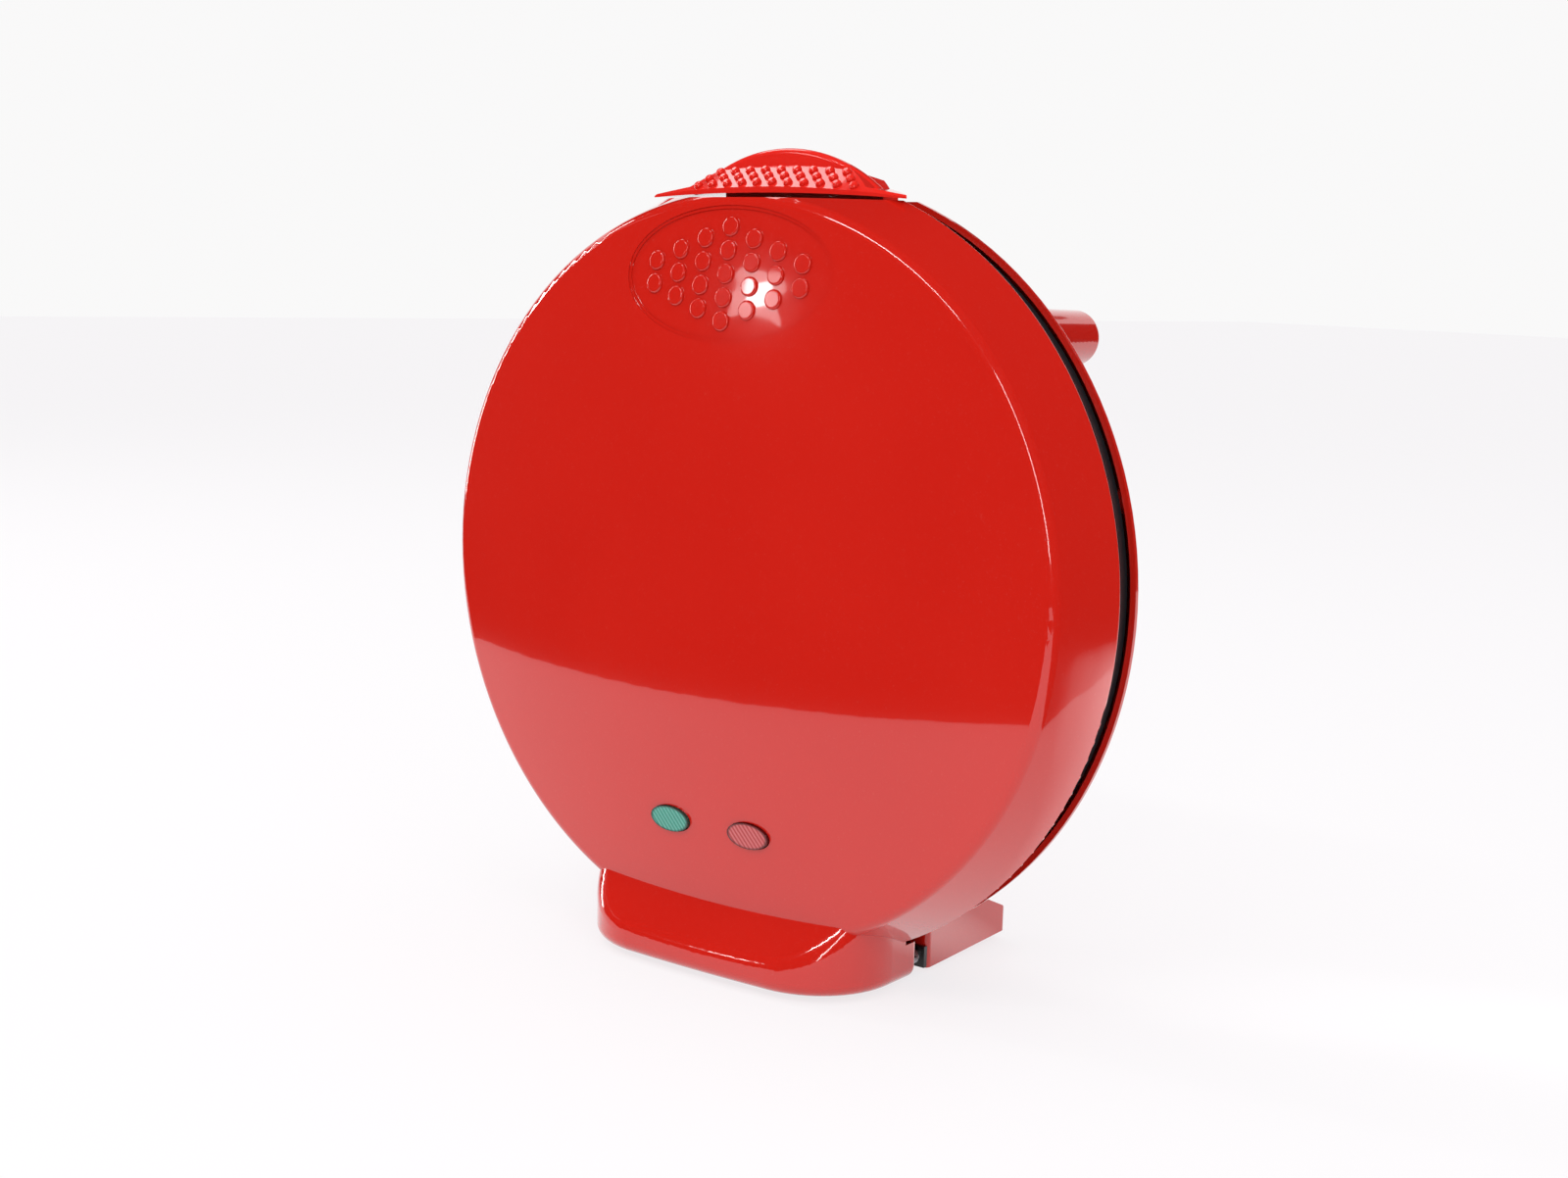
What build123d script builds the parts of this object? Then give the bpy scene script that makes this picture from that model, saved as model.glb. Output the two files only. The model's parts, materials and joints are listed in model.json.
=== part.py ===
from build123d import *
from math import asin, atan2, cos, degrees, radians, sin, sqrt
import os

os.makedirs("parts", exist_ok=True)

# A round countertop cooker for filled tortillas, stored upright on its hinge end.
# X runs across it, Y from the lid's face to the ends of its legs, and Z up. The origin is on
# the table, under the middle of its box. All sizes are in millimetres.

# ---- Stance ----
front_reach = 46.0  # edge plane of the lid to the front of the lid's foot
rear_reach = 80.0  # edge plane of the lid to the pads on the legs' ends
rim_clearance = 2.0  # table to the edge of the lid
parting_gap = 13.5  # between the edges of the lid and the base
flat_cut = 11.5  # edge of the lid down to the flat at the handle end
seat_gap = 0.2  # between a piece and the curved wall that it sits on
floor_pad_thickness = 2.3

# ---- Lid ----
lid_radius = 155.0
lid_wall = 2.5
lid_crown_depth = 42.5  # edge plane to the middle of the domed face
crease_depth = 29.0  # edge plane to the crease between face and side band
crease_inset = 10.5  # edge of the lid to the crease
crease_rounding = 5.0
lid_edge_rounding = 1.1

# ---- Foot of the lid, which also covers the hinge ----
foot_half_width = 69.5
foot_bow = 3.0  # of the front, over its whole width
foot_corner_radius = 36.0
foot_joint_height = 30.0  # table to where the foot meets the face
foot_slope = 45.0  # degrees
foot_crest_rounding = 8.0
foot_sole_rounding = 5.0
cheek_width = 12.0
cheek_height = 24.0
cheek_reach = 8.5  # behind the lid's edge plane
cheek_root = 6.0  # in front of the lid's edge plane
cheek_rounding = 3.0
cheek_inset = 0.01  # keeps the sides of the cheeks just under the sides of the foot
cheek_clearance = 1.0  # under the lid's edge

# ---- Grip pad on the lid ----
pad_drop = 28.5  # flat at the handle end down to the middle of the pad
pad_half_width = 49.0
pad_half_height = 25.6
pad_step = 0.45
pad_step_width = 1.3
pip_rows = (1, 2, 3, 4, 3, 4, 3, 2, 1)
pip_spacing = 23.2
pip_row_rise = 4.4
pip_radius = 3.8
pip_height = 1.1
pip_rounding = 0.9

# ---- Base ----
base_inset = 1.8  # edge of the lid to the edge of the base
base_wall = 1.8
base_depth = 38.0  # edge plane of the base to its bottom
base_band = 2.0
bottom_inset = 27.2  # edge of the base to its flat bottom
bottom_rounding = 16.0
base_band_rounding = 1.0

# ---- Stand behind the base ----
stand_half_width = 67.0
stand_wall = 2.5
stand_front = 19.7  # behind the lid's edge plane
stand_end_lift = 1.7  # of its underside, from front to end
stand_end_height = 12.5  # table to the top of its upright end
stand_shoulder_height = 20.5
stand_shoulder_run = 15.0
stand_root_height = 34.0
stand_rounding = 2.5
rear_pad_radius = 4.0
rear_pad_thickness = 1.0
rear_pad_sink = 0.6
rear_pad_offset = 52.0
rear_pad_height = 8.25
stand_screw_offset = 59.5
stand_screw_height = 25.0
stand_boss_depth = 6.0
floor_pad_offset = 46.0
floor_pad_length = 40.0
floor_pad_width = 11.0
lid_pad_offset = 32.0
lid_pad_length = 34.0
lid_pad_setback = 22.0

# ---- Legs ----
leg_inset = 24.8  # edge of the base to the legs' circle
leg_angle = 46.7  # degrees above the middle of the body
leg_radius = 12.5
leg_end_radius = 10.8
leg_wall = 2.5
leg_rounding = 3.0
leg_pad_radius = 6.0
leg_boss_depth = 22.0

# ---- Handle on the base ----
handle_half_width = 60.6
handle_overhang = 8.0  # in front of the lid's edge plane
handle_lip_rise = 4.8  # flat at the handle end up to the top of the lip
handle_lip_thickness = 2.3
handle_lip_setback = 4.0  # of the tips, behind the middle of the lip
handle_tip_drop = 4.0
handle_bow = 7.2  # fall of the shelf towards the tips
shelf_run = 9.5
shelf_rise = 8.2
handle_back = 24.0  # behind the lid's edge plane
handle_margin = 1.0  # of cutters past the handle's ends
crown_radius = 70.0
crown_height = 14.9  # top of the lip up to the top of the crown
crown_thickness = 5.0
shelf_depth = 15.0  # before its underside is cut to the lip
crown_proud = 0.6  # of the shelf's ends
crown_setback = 0.5  # behind the ridge of the shelf
crown_rounding = 1.8
root_half_width = 38.0
bump_spacing = 7.4
bump_row_spacing = 3.7
bump_radius = 1.9
bump_height = 1.6
bump_rounding = 1.2
bump_rows = (11, 10, 9)
bump_row_start = 2.5
handle_screw_offset = 26.0
handle_screw_setback = 18.0

# ---- Cooking plates ----
plate_inset = 5.5  # edge of the lid to the edge of the plates
plate_thickness = 7.0
plate_gap = 0.3
plate_flat_margin = 3.5
wedge_count = 6
plate_rim = 15.5  # edge of the plates to the wells
well_depth = 4.9
well_rounding = 9.0
well_draft = 12.0  # degrees
rib_half_width = 4.0
post_inset = 8.5  # edge of the plates to the posts' circle
post_radius = 5.0
post_angles = (15, 165, 225, 315)

# ---- Heating ----
element_radius = 3.25
element_circle = 88.0
element_gap_angle = 30.0
pin_length = 8.0
pin_radius = 1.5
stud_circle = 62.0
stud_radius = 4.5
stud_angles = (90, 210, 330)
reflector_radius = 112.0
reflector_thickness = 0.8
reflector_skirt = 4.0
reflector_notch_width = 44.0
reflector_notch_reach = 26.0  # to either side of the ring's circle
thermostat_window = 17.0
thermostat_radius = 8.5
thermostat_height = 10.0
flange_length = 31.0
flange_width = 9.0
flange_thickness = 1.0
flange_screw_offset = 11.5
flange_hole_clearance = 0.1
fuse_radius = 2.5
fuse_length = 16.0
fuse_offset = 45.0
fuse_drop = 20.0

# ---- Wiring ----
block_width = 30.0
block_height = 14.0
block_depth = 12.0
block_rounding = 1.5
block_drop = 60.0
block_screw_offset = 11.0
wire_radius = 1.2
wire_bend = 8.0
wire_gap = 0.35  # between a wire and the piece that it is joined to
wire_spacing = 16.0  # at the terminal block
bushing_bore = 3.6
bushing_radius = 5.0
bushing_flange_radius = 6.2
bushing_flange_thickness = 1.5
bushing_height = 12.3
bushing_setback = 57.0  # behind the lid's edge plane
cord_hole_radius = 4.0
cord_hole_offset = 30.0
cord_hole_height = 25.5

# ---- Signal lights ----
light_half_spacing = 19.4
light_height = 59.0
lens_half_width = 9.6
lens_half_height = 5.1
lens_proud = 1.3
lens_clearance = 0.25
lens_flange = 1.8
lens_flange_thickness = 2.0
lens_hollow_depth = 3.5
lens_wall = 1.6
lamp_radius = 3.0
lamp_rounding = 1.5
lamp_clearance = 0.05
lamp_length = 14.0
lamp_setback = 0.5  # behind the lens
holder_width = 84.0
holder_height = 14.0
holder_thickness = 2.0
holder_rounding = 3.0
holder_setback = 8.0  # behind the lens flange
holder_screw_offset = 36.0
holder_post_radius = 3.8

# ---- Hinge ----
hinge_height = 6.0
hinge_setback = 5.5  # behind the lid's edge plane
hinge_pin_radius = 2.0
hinge_clearance = 0.05
hinge_barrel_radius = 4.2
hinge_side_gap = 0.3
hinge_arm_width = 8.5
hinge_arm_drop = 1.5
hinge_flange_width = 18.0
hinge_flange_thickness = 2.0
hinge_flange_bottom = 3.0
hinge_flange_top = 11.5
pin_blind_wall = 2.0
pin_end_gap = 0.3
hinge_screw_height = 7.5
hinge_screw_margin = 4.4  # from the outer end of the flange

# ---- Screws ----
screw_radius = 1.6
screw_clearance = 0.3
screw_head_radius = 3.0
screw_head_height = 1.7
screw_recess = 0.7
screw_recess_width = 3.9
screw_slot = 0.8
counterbore_depth = 2.2
counterbore_clearance = 0.3
screw_length = 10.0
short_screw_length = 5.0
long_screw_length = 16.0

# ---- Places worked out from the sizes ----
centre_height = lid_radius + rim_clearance
crease_radius = lid_radius - crease_inset
base_radius = lid_radius - base_inset
bottom_radius = base_radius - bottom_inset
plate_radius = lid_radius - plate_inset
well_radius = plate_radius - plate_rim
post_circle = plate_radius - post_inset
leg_circle = base_radius - leg_inset
flat_height = lid_radius - flat_cut
pad_rise = flat_height - pad_drop
light_drop = centre_height - light_height
lid_edge = (front_reach - rear_reach) / 2
base_edge = lid_edge + parting_gap
parting = (lid_edge + base_edge) / 2
hinge_y = lid_edge + hinge_setback
rear_face = lid_edge + rear_reach - rear_pad_thickness
stand_face = lid_edge + stand_front
foot_joint = lid_edge - crease_depth
bushing_y = lid_edge + bushing_setback
handle_screw_y = lid_edge + handle_screw_setback
cheek_inner = foot_half_width - cheek_width
barrel_end = cheek_inner - hinge_side_gap
barrel_start = barrel_end - hinge_arm_width
hinge_screw_offset = barrel_start + hinge_flange_width - hinge_screw_margin
hinge_screw_drop = centre_height - hinge_screw_height
hinge_screw_places = [(side * hinge_screw_offset, -hinge_screw_drop) for side in (-1, 1)]
body_axis = Axis((0, 0, centre_height), (0, 1, 0))
turning_plane = Plane.XY.offset(centre_height)
dome_sag = lid_crown_depth - crease_depth
dome_radius = (crease_radius**2 + dome_sag**2) / (2 * dome_sag)
dome_centre = Vector(0, lid_edge - lid_crown_depth + dome_radius, centre_height)


def facing_front(y):
    """Upright plane at y that faces the lid's side, with its own y upwards."""
    return Plane(origin=(0, y, centre_height), x_dir=(1, 0, 0), z_dir=(0, -1, 0))


def facing_back(y):
    """Upright plane at y that faces the legs' side, with its own y upwards."""
    return Plane(origin=(0, y, centre_height), x_dir=(-1, 0, 0), z_dir=(0, 1, 0))


def on_circle(radius, angle):
    """Point on a circle round the body's middle, in an upright plane."""
    return (radius * cos(radians(angle)), radius * sin(radians(angle)))


def dome_point(x, rise, proud=0.0):
    """Point on the lid's domed face, x across and rise above the body's middle."""
    reach = dome_radius + proud
    return Vector(x, dome_centre.Y - sqrt(reach**2 - x**2 - rise**2), centre_height + rise)


def save(part, name):
    """Label a finished piece and write it to its own file."""
    part.label = name
    export_step(part, f"parts/{name}.step")


# ---- Shared forms ----
def lid_foot(inset):
    """Foot of the lid: bowed front, rounded corners, upright sides and a sloping top."""
    half_width = foot_half_width - inset
    rear = lid_edge - inset
    front = lid_edge - front_reach + inset
    slope = radians(foot_slope)
    with BuildPart() as foot:
        with BuildSketch(Plane.XY.offset(floor_pad_thickness + inset)) as outline:
            with BuildLine():
                bow = ThreePointArc(
                    (-half_width, front + foot_bow), (0, front), (half_width, front + foot_bow)
                )
                Polyline(bow @ 1, (half_width, rear), (-half_width, rear), bow @ 0)
            make_face()
            corners = outline.vertices().sort_by(Axis.Y)[:2]
            fillet(corners, foot_corner_radius - inset)
        extrude(amount=centre_height / 2)
        normal = Vector(0, -sin(slope), cos(slope))
        joint = Vector(0, foot_joint, foot_joint_height)
        top = Plane(origin=joint - normal * inset, z_dir=normal)
        split(bisect_by=top, keep=Keep.BOTTOM)
        if inset == 0:
            crest = foot.faces().filter_by(Axis(joint, normal)).edges().sort_by(Axis.Y)[:-1]
            fillet(crest, foot_crest_rounding)
            sole = foot.faces().sort_by(Axis.Z)[0].edges().sort_by(Axis.Y)[:-1]
            fillet(sole, foot_sole_rounding)
    return foot.part


def lid_form(inset):
    """Outside of the lid, moved inwards by inset."""
    taper = (lid_radius - crease_radius) / crease_depth
    edge_radius = lid_radius - inset * sqrt(1 + taper**2)
    depth = crease_depth - inset
    crease = edge_radius - depth * taper
    with BuildPart() as form:
        with BuildSketch(turning_plane) as section:
            with BuildLine():
                face = TangentArc(
                    (0, lid_edge - lid_crown_depth + inset),
                    (crease, lid_edge - depth),
                    tangent=(1, 0),
                )
                Polyline(face @ 1, (edge_radius, lid_edge), (0, lid_edge), face @ 0)
            make_face()
            fillet(section.vertices().sort_by(Axis.X)[-2], crease_rounding)
            if inset == 0:
                fillet(section.vertices().sort_by(Axis.X)[-1], lid_edge_rounding)
        revolve(axis=body_axis)
        add(lid_foot(inset))
        split(bisect_by=Plane.XY.offset(centre_height + flat_height - inset), keep=Keep.BOTTOM)
    return form.part


def base_form(inset):
    """Outside of the base's bowl, moved inwards by inset."""
    run = base_depth - base_band
    taper = (base_radius - bottom_radius) / run
    shift = inset * sqrt(1 + taper**2)
    foot_radius = bottom_radius - shift + inset * taper
    with BuildPart() as form:
        with BuildSketch(turning_plane) as section:
            with BuildLine():
                Polyline(
                    (0, base_edge),
                    (base_radius - shift, base_edge),
                    (base_radius - shift, base_edge + base_band),
                    (foot_radius, base_edge + base_depth - inset),
                    (0, base_edge + base_depth - inset),
                    close=True,
                )
            make_face()
            fillet(section.vertices().sort_by(Axis.X)[2], bottom_rounding - inset)
            if inset == 0:
                fillet(section.vertices().sort_by(Axis.X)[-2:].sort_by(Axis.Y)[-1], base_band_rounding)
        revolve(axis=body_axis)
        split(bisect_by=Plane.XY.offset(centre_height + flat_height - inset), keep=Keep.BOTTOM)
    return form.part


def posts(plane, places, radius, length, limit):
    """Round posts from a plane into a shell, trimmed by the shell's own form."""
    with BuildPart() as group:
        with BuildSketch(plane):
            with Locations(*places):
                Circle(radius)
        extrude(amount=length)
        add(limit, mode=Mode.INTERSECT)
    return group.part


def screw(length):
    """Pan-head screw along Z with the head's seat at the origin and a cross recess."""
    with BuildPart() as body:
        Cylinder(screw_radius, length, align=(Align.CENTER, Align.CENTER, Align.MAX))
        Cylinder(screw_head_radius, screw_head_height, align=(Align.CENTER, Align.CENTER, Align.MIN))
        with Locations((0, 0, screw_head_height)):
            Box(screw_recess_width, screw_slot, 2 * screw_recess, mode=Mode.SUBTRACT)
            Box(screw_slot, screw_recess_width, 2 * screw_recess, mode=Mode.SUBTRACT)
    return body.part


def screws(planes, length):
    """Group of screws, one on each plane, with its head towards the plane's normal."""
    fastener = screw(length)
    with BuildPart() as group:
        with Locations(*planes):
            add(fastener)
    return group.part


def bored(plane, places, radius, depth):
    """Round cutters from a plane, for pilot holes and counterbores."""
    with BuildPart() as cutter:
        with BuildSketch(plane):
            with Locations(*places):
                Circle(radius)
        extrude(amount=depth)
    return cutter.part


# ---- Lid shell ----
upper_face = parting - plate_gap / 2
lower_face = parting + plate_gap / 2
upper_back = upper_face - plate_thickness
lower_back = lower_face + plate_thickness
post_places = [on_circle(post_circle, angle) for angle in post_angles]
light_places = [(-light_half_spacing, -light_drop), (light_half_spacing, -light_drop)]
holder_places = [(-holder_screw_offset, -light_drop), (holder_screw_offset, -light_drop)]
lens_seat = dome_point(light_half_spacing, -light_drop, -lid_wall).Y
holder_face = lens_seat + holder_setback
cheek_sides = (1, -1)


def pad_oval(step):
    """Cutter for one step of the grip pad's stepped oval, floored by the dome's own curve."""
    inset = step * pad_step_width
    with BuildPart() as oval:
        with BuildSketch(facing_front(lid_edge)):
            with Locations((0, pad_rise)):
                Ellipse(pad_half_width - inset, pad_half_height - inset)
        extrude(amount=lid_crown_depth + lid_wall)
        with Locations(dome_centre):
            Sphere(dome_radius - (step + 1) * pad_step, mode=Mode.SUBTRACT)
    return oval.part


with BuildPart() as pip:
    Cylinder(pip_radius, 2 * pip_height)
    fillet(pip.edges().sort_by(Axis.Z)[-1], pip_rounding)

pip_planes = []
for row, count in enumerate(pip_rows):
    rise = pad_rise + ((len(pip_rows) - 1) / 2 - row) * pip_row_rise
    for column in range(count):
        across = (column - (count - 1) / 2) * pip_spacing
        seat = dome_point(across, rise, -2 * pad_step)
        pip_planes.append(Plane(origin=seat, z_dir=seat - dome_centre))

with BuildPart() as cheeks:
    with BuildSketch(facing_back(lid_edge - cheek_root)) as section:
        for side in cheek_sides:
            with Locations((side * (foot_half_width - cheek_inset), floor_pad_thickness - centre_height)):
                Rectangle(
                    cheek_width - cheek_inset,
                    cheek_height,
                    align=(Align.MAX if side > 0 else Align.MIN, Align.MIN),
                )
        low_corners = section.vertices().group_by(Axis.Z)[0].sort_by(Axis.X)
        fillet([low_corners[0], low_corners[-1]], foot_sole_rounding)
    extrude(amount=cheek_root + cheek_reach)
    for face in cheeks.faces().group_by(Axis.Y)[-1]:
        outer_edges = face.edges().sort_by(Axis.Z)[:-1].sort_by(lambda edge: abs(edge.center().X))[1:]
        fillet(outer_edges, cheek_rounding)
    for start, radius in ((lid_edge - cheek_root, plate_radius), (lid_edge, lid_radius)):
        with BuildSketch(facing_back(start)):
            Circle(radius + cheek_clearance)
        extrude(amount=cheek_root + cheek_reach, mode=Mode.SUBTRACT)

with BuildPart() as lid_shell:
    add(lid_form(0))
    add(lid_form(lid_wall), mode=Mode.SUBTRACT)
    for step in (0, 1):
        add(pad_oval(step), mode=Mode.SUBTRACT)
    with Locations(*pip_planes):
        add(pip.part)
    lid_limit = lid_form(lid_wall / 2)
    add(posts(facing_front(upper_back), post_places, post_radius, lid_crown_depth, lid_limit))
    add(posts(facing_front(holder_face), holder_places, holder_post_radius, lid_crown_depth, lid_limit))
    add(bored(facing_front(upper_back), post_places, screw_radius, screw_length), mode=Mode.SUBTRACT)
    add(
        bored(facing_front(holder_face), holder_places, screw_radius, short_screw_length),
        mode=Mode.SUBTRACT,
    )
    with BuildSketch(facing_front(lens_seat + lens_flange_thickness)):
        with Locations(*light_places):
            Ellipse(lens_half_width + lens_clearance, lens_half_height + lens_clearance)
    extrude(amount=lid_crown_depth, mode=Mode.SUBTRACT)
    add(cheeks.part)
    for side in cheek_sides:
        with BuildSketch(Plane.YZ.offset(side * cheek_inner)):
            with Locations((hinge_y, hinge_height)):
                Circle(hinge_pin_radius + hinge_clearance)
        extrude(amount=side * (cheek_width - pin_blind_wall), mode=Mode.SUBTRACT)
save(lid_shell.part, "lid_shell")

# ---- Base shell ----
leg_places = [on_circle(leg_circle, angle) for angle in (180 - leg_angle, leg_angle)]
stand_screw_drop = centre_height - stand_screw_height
stand_places = [(-stand_screw_offset, -stand_screw_drop), (stand_screw_offset, -stand_screw_drop)]
leg_boss = base_edge + leg_boss_depth
stand_boss = base_edge + stand_boss_depth
base_floor = base_edge + base_depth - base_wall
block_face = base_floor - block_depth
block_places = [(-block_screw_offset, -block_drop), (block_screw_offset, -block_drop)]
handle_seat = centre_height + flat_height
handle_screw_seat = handle_seat - base_wall

with BuildPart() as handle_holes:
    with BuildSketch(Plane.XY.offset(handle_screw_seat)):
        with Locations((-handle_screw_offset, handle_screw_y), (handle_screw_offset, handle_screw_y)):
            Circle(screw_radius)
    extrude(amount=screw_length)

with BuildPart() as base_shell:
    add(base_form(0))
    add(base_form(base_wall), mode=Mode.SUBTRACT)
    base_limit = base_form(base_wall / 2)
    add(posts(facing_back(lower_back), post_places, post_radius, base_depth, base_limit))
    add(posts(facing_back(leg_boss), leg_places, post_radius, base_depth, base_limit))
    add(posts(facing_back(stand_boss), stand_places, post_radius, base_depth, base_limit))
    add(bored(facing_back(lower_back), post_places, screw_radius, screw_length), mode=Mode.SUBTRACT)
    add(bored(facing_back(leg_boss), leg_places, screw_radius, base_depth), mode=Mode.SUBTRACT)
    add(bored(facing_back(stand_boss), stand_places, screw_radius, base_depth), mode=Mode.SUBTRACT)
    add(
        bored(facing_back(base_floor), block_places, screw_radius, base_wall / 2),
        mode=Mode.SUBTRACT,
    )
    add(
        bored(
            facing_back(base_edge),
            [(cord_hole_offset, cord_hole_height - centre_height)],
            cord_hole_radius,
            base_depth,
        ),
        mode=Mode.SUBTRACT,
    )
    add(handle_holes.part, mode=Mode.SUBTRACT)
save(base_shell.part, "base_shell")

# ---- Rear stand ----
stand_top = [
    (rear_face, stand_end_height),
    (rear_face - stand_rounding, stand_end_height + stand_rounding),
    (rear_face - stand_shoulder_run, stand_shoulder_height),
    (base_edge + base_depth, stand_root_height),
]


def stand_form(inset):
    """Box of the stand, moved inwards by inset, from its front wall to its sloping top."""
    with BuildPart() as form:
        with BuildSketch(Plane.YZ.offset(-stand_half_width + inset)):
            with BuildLine():
                Polyline(
                    (stand_face + inset, stand_root_height - inset),
                    (stand_face + inset, floor_pad_thickness + inset),
                    (rear_face - inset, floor_pad_thickness + stand_end_lift + inset),
                    *[(y - inset, z - inset) for y, z in stand_top],
                    close=True,
                )
            make_face()
        extrude(amount=2 * (stand_half_width - inset))
        if inset == 0:
            fillet(form.edges().filter_by(Axis.Z), stand_rounding)
    return form.part


rear_pad_drop = centre_height - rear_pad_height
rear_pad_places = [(-rear_pad_offset, -rear_pad_drop), (rear_pad_offset, -rear_pad_drop)]

with BuildPart() as rear_stand:
    add(stand_form(0))
    add(stand_form(stand_wall), mode=Mode.SUBTRACT)
    stand_limit = stand_form(stand_wall / 2)
    add(posts(facing_back(base_edge), stand_places, post_radius, base_depth, stand_limit))
    add(base_form(-seat_gap), mode=Mode.SUBTRACT)
    add(
        bored(
            facing_back(base_edge), stand_places, screw_radius, stand_boss_depth + long_screw_length
        ),
        mode=Mode.SUBTRACT,
    )
    add(
        bored(facing_back(rear_face - rear_pad_sink), rear_pad_places, rear_pad_radius, rear_pad_sink),
        mode=Mode.SUBTRACT,
    )
    with BuildSketch(Plane.YZ.offset(-stand_half_width)):
        with Locations((bushing_y, bushing_height)):
            Circle(bushing_radius + hinge_clearance)
    extrude(amount=stand_wall, mode=Mode.SUBTRACT)
    with BuildSketch(facing_front(stand_face)):
        with Locations(*hinge_screw_places):
            Circle(screw_radius)
    extrude(amount=-stand_wall, mode=Mode.SUBTRACT)
save(rear_stand.part, "rear_stand")

with BuildPart() as cord_bushing:
    with BuildSketch(Plane.YZ.offset(-stand_half_width)):
        with Locations((bushing_y, bushing_height)):
            Circle(bushing_radius)
    extrude(amount=stand_wall)
    for outer in (-stand_half_width - bushing_flange_thickness, -stand_half_width + stand_wall):
        with BuildSketch(Plane.YZ.offset(outer)):
            with Locations((bushing_y, bushing_height)):
                Circle(bushing_flange_radius)
        extrude(amount=bushing_flange_thickness)
    with BuildSketch(Plane.YZ.offset(-stand_half_width - bushing_flange_thickness)):
        with Locations((bushing_y, bushing_height)):
            Circle(bushing_bore)
    extrude(amount=stand_wall + 2 * bushing_flange_thickness, mode=Mode.SUBTRACT)
save(cord_bushing.part, "cord_bushing")

with BuildPart() as stand_floor_pads:
    for side in (1, -1):
        with BuildSketch(Plane.XY):
            with Locations((side * floor_pad_offset, (stand_face + rear_face) / 2)):
                SlotOverall(floor_pad_length, floor_pad_width, rotation=90)
        extrude(amount=floor_pad_thickness + stand_end_lift)
    add(stand_form(0), mode=Mode.SUBTRACT)
save(stand_floor_pads.part, "stand_floor_pads")

with BuildPart() as lid_floor_pads:
    for side in (1, -1):
        with BuildSketch(Plane.XY):
            with Locations((side * lid_pad_offset, lid_edge - lid_pad_setback)):
                SlotOverall(lid_pad_length, floor_pad_width)
        extrude(amount=floor_pad_thickness)
save(lid_floor_pads.part, "lid_floor_pads")

with BuildPart() as stand_rear_pads:
    add(bored(
        facing_back(rear_face - rear_pad_sink),
        rear_pad_places,
        rear_pad_radius,
        rear_pad_sink + rear_pad_thickness,
    ))
save(stand_rear_pads.part, "stand_rear_pads")

# ---- Legs ----
bowl_outside = base_form(-seat_gap)
for axis, leg_name in zip(leg_places, ("leg_left", "leg_right")):
    leg_start = facing_front(base_edge)
    with BuildPart() as leg:
        for inset in (0, leg_wall):
            with BuildSketch(leg_start):
                with Locations(axis):
                    Circle(leg_radius - inset)
            with BuildSketch(facing_front(rear_face - inset)):
                with Locations(axis):
                    Circle(leg_end_radius - inset)
            loft(mode=Mode.ADD if inset == 0 else Mode.SUBTRACT)
            if inset == 0:
                fillet(leg.edges().group_by(Axis.Y)[-1], leg_rounding)
        with BuildSketch(leg_start):
            with Locations(axis):
                Circle(post_radius)
        extrude(amount=-(rear_face - base_edge - leg_wall / 2))
        add(bowl_outside, mode=Mode.SUBTRACT)
        with BuildSketch(leg_start):
            with Locations(axis):
                Circle(screw_radius)
        extrude(amount=-(leg_boss_depth + long_screw_length), mode=Mode.SUBTRACT)
        with BuildSketch(facing_front(rear_face - rear_pad_sink)):
            with Locations(axis):
                Circle(leg_pad_radius)
        extrude(amount=-rear_pad_sink, mode=Mode.SUBTRACT)
    save(leg.part, leg_name)

with BuildPart() as leg_pads:
    add(bored(
        facing_back(rear_face - rear_pad_sink),
        leg_places,
        leg_pad_radius,
        rear_pad_sink + rear_pad_thickness,
    ))
save(leg_pads.part, "leg_pads")

# ---- Handle ----
lip_front = lid_edge - handle_overhang
lip_top = centre_height + flat_height + handle_lip_rise
lip_bottom = lip_top - handle_lip_thickness
handle_bow_radius = (handle_half_width**2 + handle_bow**2) / (2 * handle_bow)
bow_centre = lip_top - handle_bow_radius
bow_axis = Axis((0, 0, bow_centre), (0, 1, 0))
bow_angle = degrees(asin((handle_half_width + 2 * handle_margin) / handle_bow_radius))
shelf_back = lip_front + shelf_run
crown_top = lip_top + crown_height
crown_centre = crown_top - crown_radius
handle_rear = lid_edge + handle_back
tip_rise = lip_bottom - handle_tip_drop / 2
tip_reach = handle_half_width + handle_margin
shelf_end_radius = crown_radius - crown_proud
shelf_foot = sqrt(shelf_end_radius**2 - (lip_top - crown_centre) ** 2)
crown_base = lip_top - handle_lip_thickness / 2
crown_foot = sqrt(crown_radius**2 - (crown_base - crown_centre) ** 2)

bow_start = Plane(
    origin=(0, 0, bow_centre),
    x_dir=(0, 1, 0),
    z_dir=(cos(radians(bow_angle)), 0, sin(radians(bow_angle))),
)

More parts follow.
